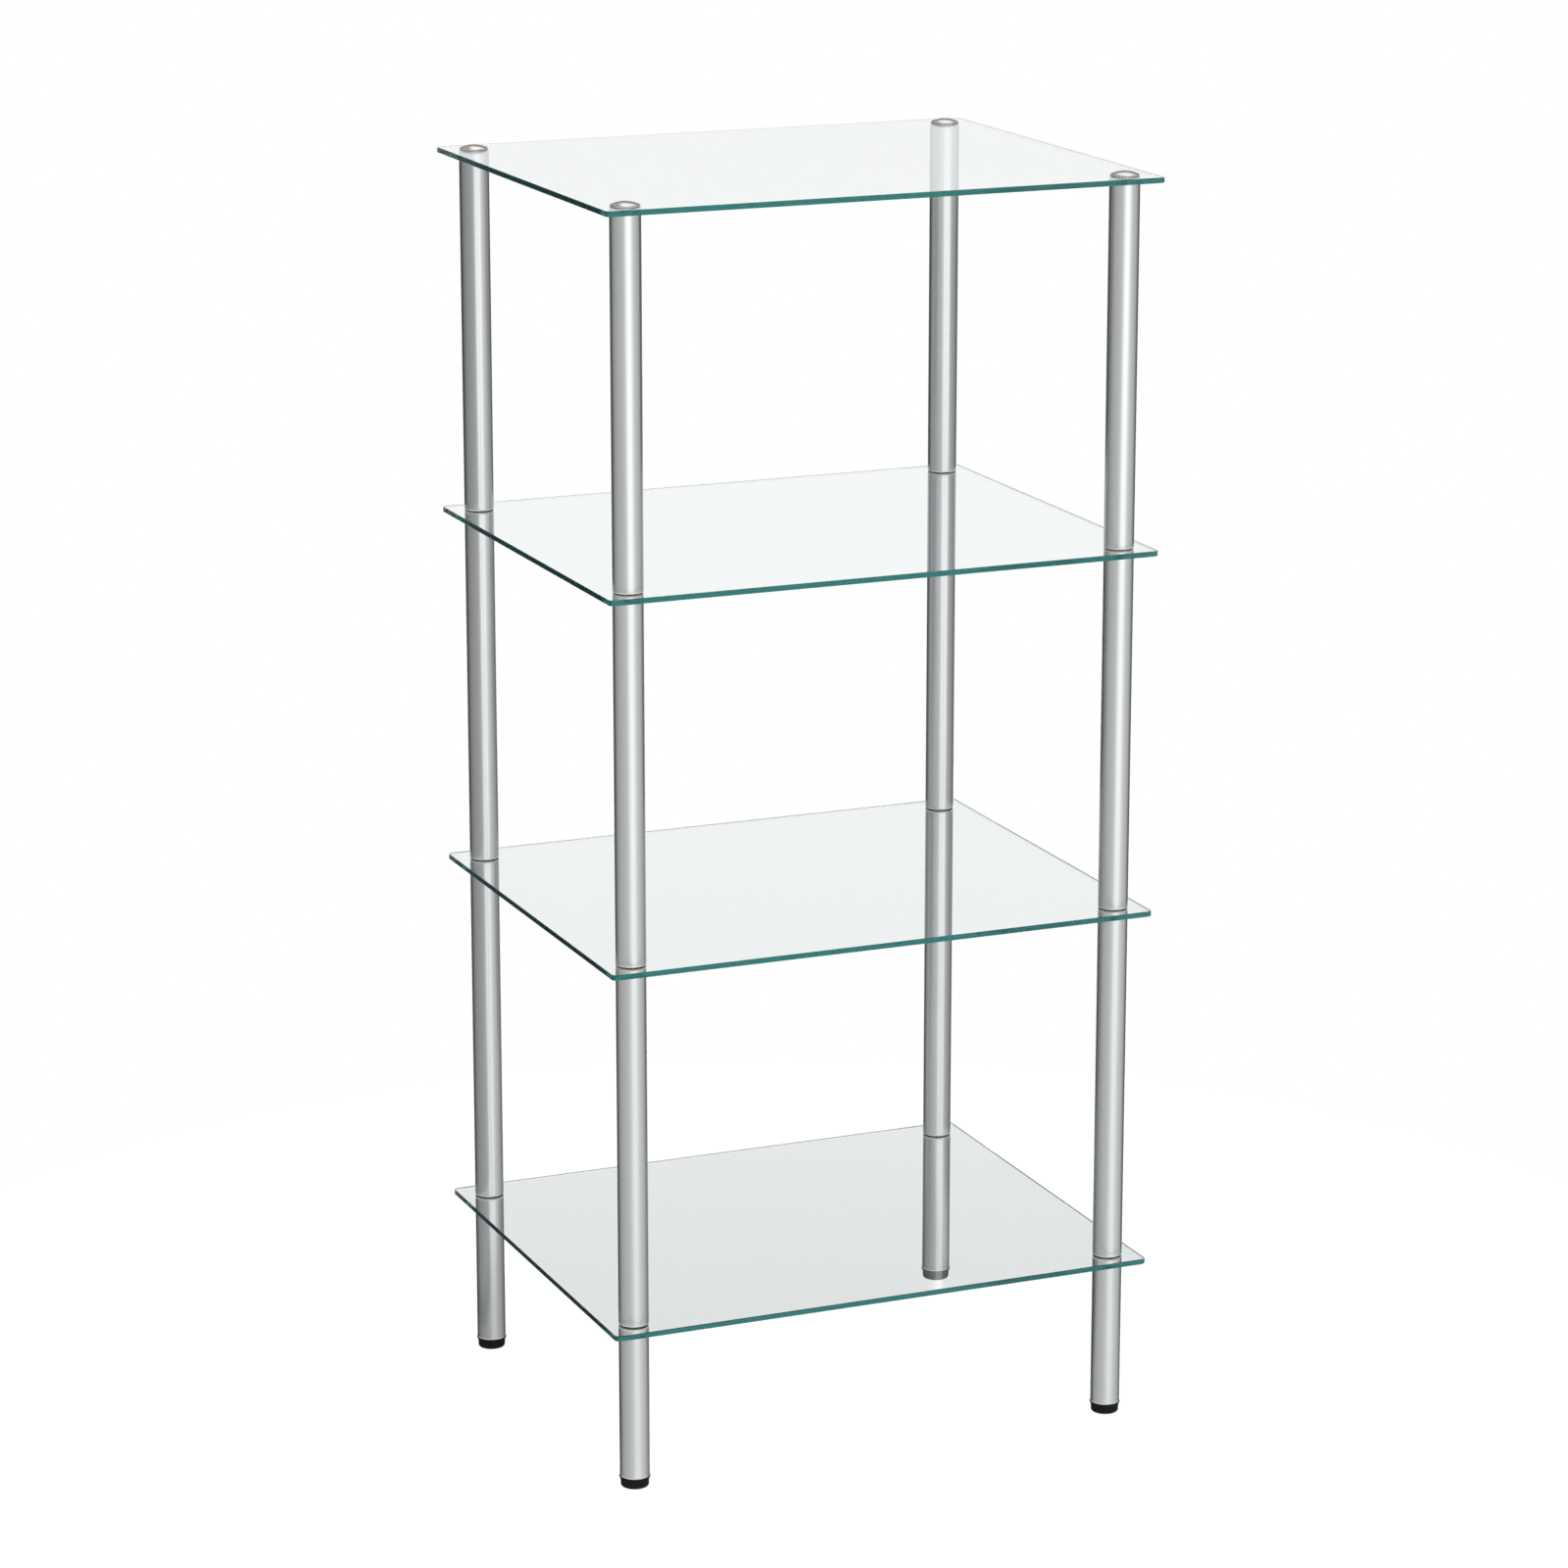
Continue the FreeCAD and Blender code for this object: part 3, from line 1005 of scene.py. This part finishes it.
ceiling_ring = [
    (-180, 1.30), (-171, 1.30), (-164, 0.35), (-155, 0.35), (-149, 1.40), (-138, 1.30), (-126, 0.50),
    (-100, 0.50), (-80, 1.50), (80, 1.50), (100, 0.50), (135, 0.55), (150, 0.80), (165, 1.30), (180, 1.30),
]
back_glow = [
    (0.0, 1.00), (0.16, 1.00), (0.19, 0.95), (0.225, 0.88), (0.29, 0.70), (0.36, 0.12), (0.42, 0.14),
    (0.52, 0.56), (1.0, 0.56),
]
inside_glass = [(-180, 0.55), (-101, 0.55), (-79, 0.12), (140, 0.12), (160, 0.55), (180, 0.55)]
dark_horizon = (0.06, 0.06, 0.06, 1)
panel_below = (2.6, 2.56, 2.47, 1)
ceiling_lamp = (1.5, 1.5, 1.5, 1)
plain_white = (1, 1, 1, 1)
many_mirrors = 3.5


def make_studio():
    """World whose light depends on the direction and on what the asking ray has met."""
    world = bpy.data.worlds.new("studio")
    world.use_nodes = True
    tree = world.node_tree
    direction = add_node(tree, "ShaderNodeTexCoord", {}, {}, "Generated")

    def along(x, y, z):
        """Share of the direction along a unit vector."""
        sockets = {0: direction, 1: (x, y, z)}
        return add_node(tree, "ShaderNodeVectorMath", {"operation": "DOT_PRODUCT"}, sockets, 1)

    def ramp(value, stops):
        """Grey level that runs straight from stop to stop."""
        return add_node(tree, "ShaderNodeValToRGB", {"stops": stops}, {0: value})

    def ring(stops):
        """Brightness by bearing: 0 degrees is the camera's side, and positive bearings lie to its right."""
        return ramp(share, [(degrees / 360 + 0.5, level) for degrees, level in stops])

    def ray(fact):
        """What is known about the ray that asks for light."""
        return add_node(tree, "ShaderNodeLightPath", {}, {}, fact)

    sine, cosine = math.sin(camera_turn), math.cos(camera_turn)
    to_camera = along(-sine, -cosine, 0)
    to_right = along(cosine, -sine, 0)
    up = along(0, 0, 1)
    down = along(0, 0, -1)
    share = to_right.math("ARCTAN2", to_right, to_camera) * (0.5 / math.pi) + 0.5
    from_camera = abs(share - 0.5) * 360

    sky = mix(tree, smooth(tree, down, 0.20, 0.36), ring(upright_ring), ring(leg_ring))
    horizon = smooth(tree, from_camera, 140, 160) * smooth(tree, up, -0.22, -0.16)
    sky = mix(tree, horizon, sky, dark_horizon)
    matt = ray("Diffuse Depth") > 0.5
    sky = mix(tree, smooth(tree, down, 0.66, 0.84) * matt, sky, panel_below)
    behind = smooth(tree, from_camera, 110, 135) * smooth(tree, up, -0.03, 0.03)
    sky = mix(tree, behind, sky, ramp(up, back_glow))
    sky = mix(tree, smooth(tree, up, 0.60, 0.70), sky, ring(ceiling_ring))
    sky = mix(tree, smooth(tree, up, 0.95, 0.985), sky, ceiling_lamp)

    mirrored = ray("Glossy Depth")
    far_inside = mirrored > many_mirrors
    met_metal = (mirrored > 0.5) * (1 - far_inside)
    through = ray("Is Transmission Ray") * (1 - met_metal) * (1 - matt)
    lens = ray("Is Camera Ray")
    backdrop = mix(tree, far_inside, plain_white, ring(inside_glass))
    light = mix(tree, lens.math("MAXIMUM", lens, through), sky, backdrop)
    feed(tree.nodes["Background"], Color=light, Strength=1.0)
    return world


scene = bpy.context.scene
scene.world = make_studio()
scene.view_settings.view_transform = "Standard"
scene.cycles.max_bounces = 64
scene.cycles.glossy_bounces = 48
scene.cycles.transmission_bounces = 24
print("studio of", len(scene.world.node_tree.nodes), "nodes")
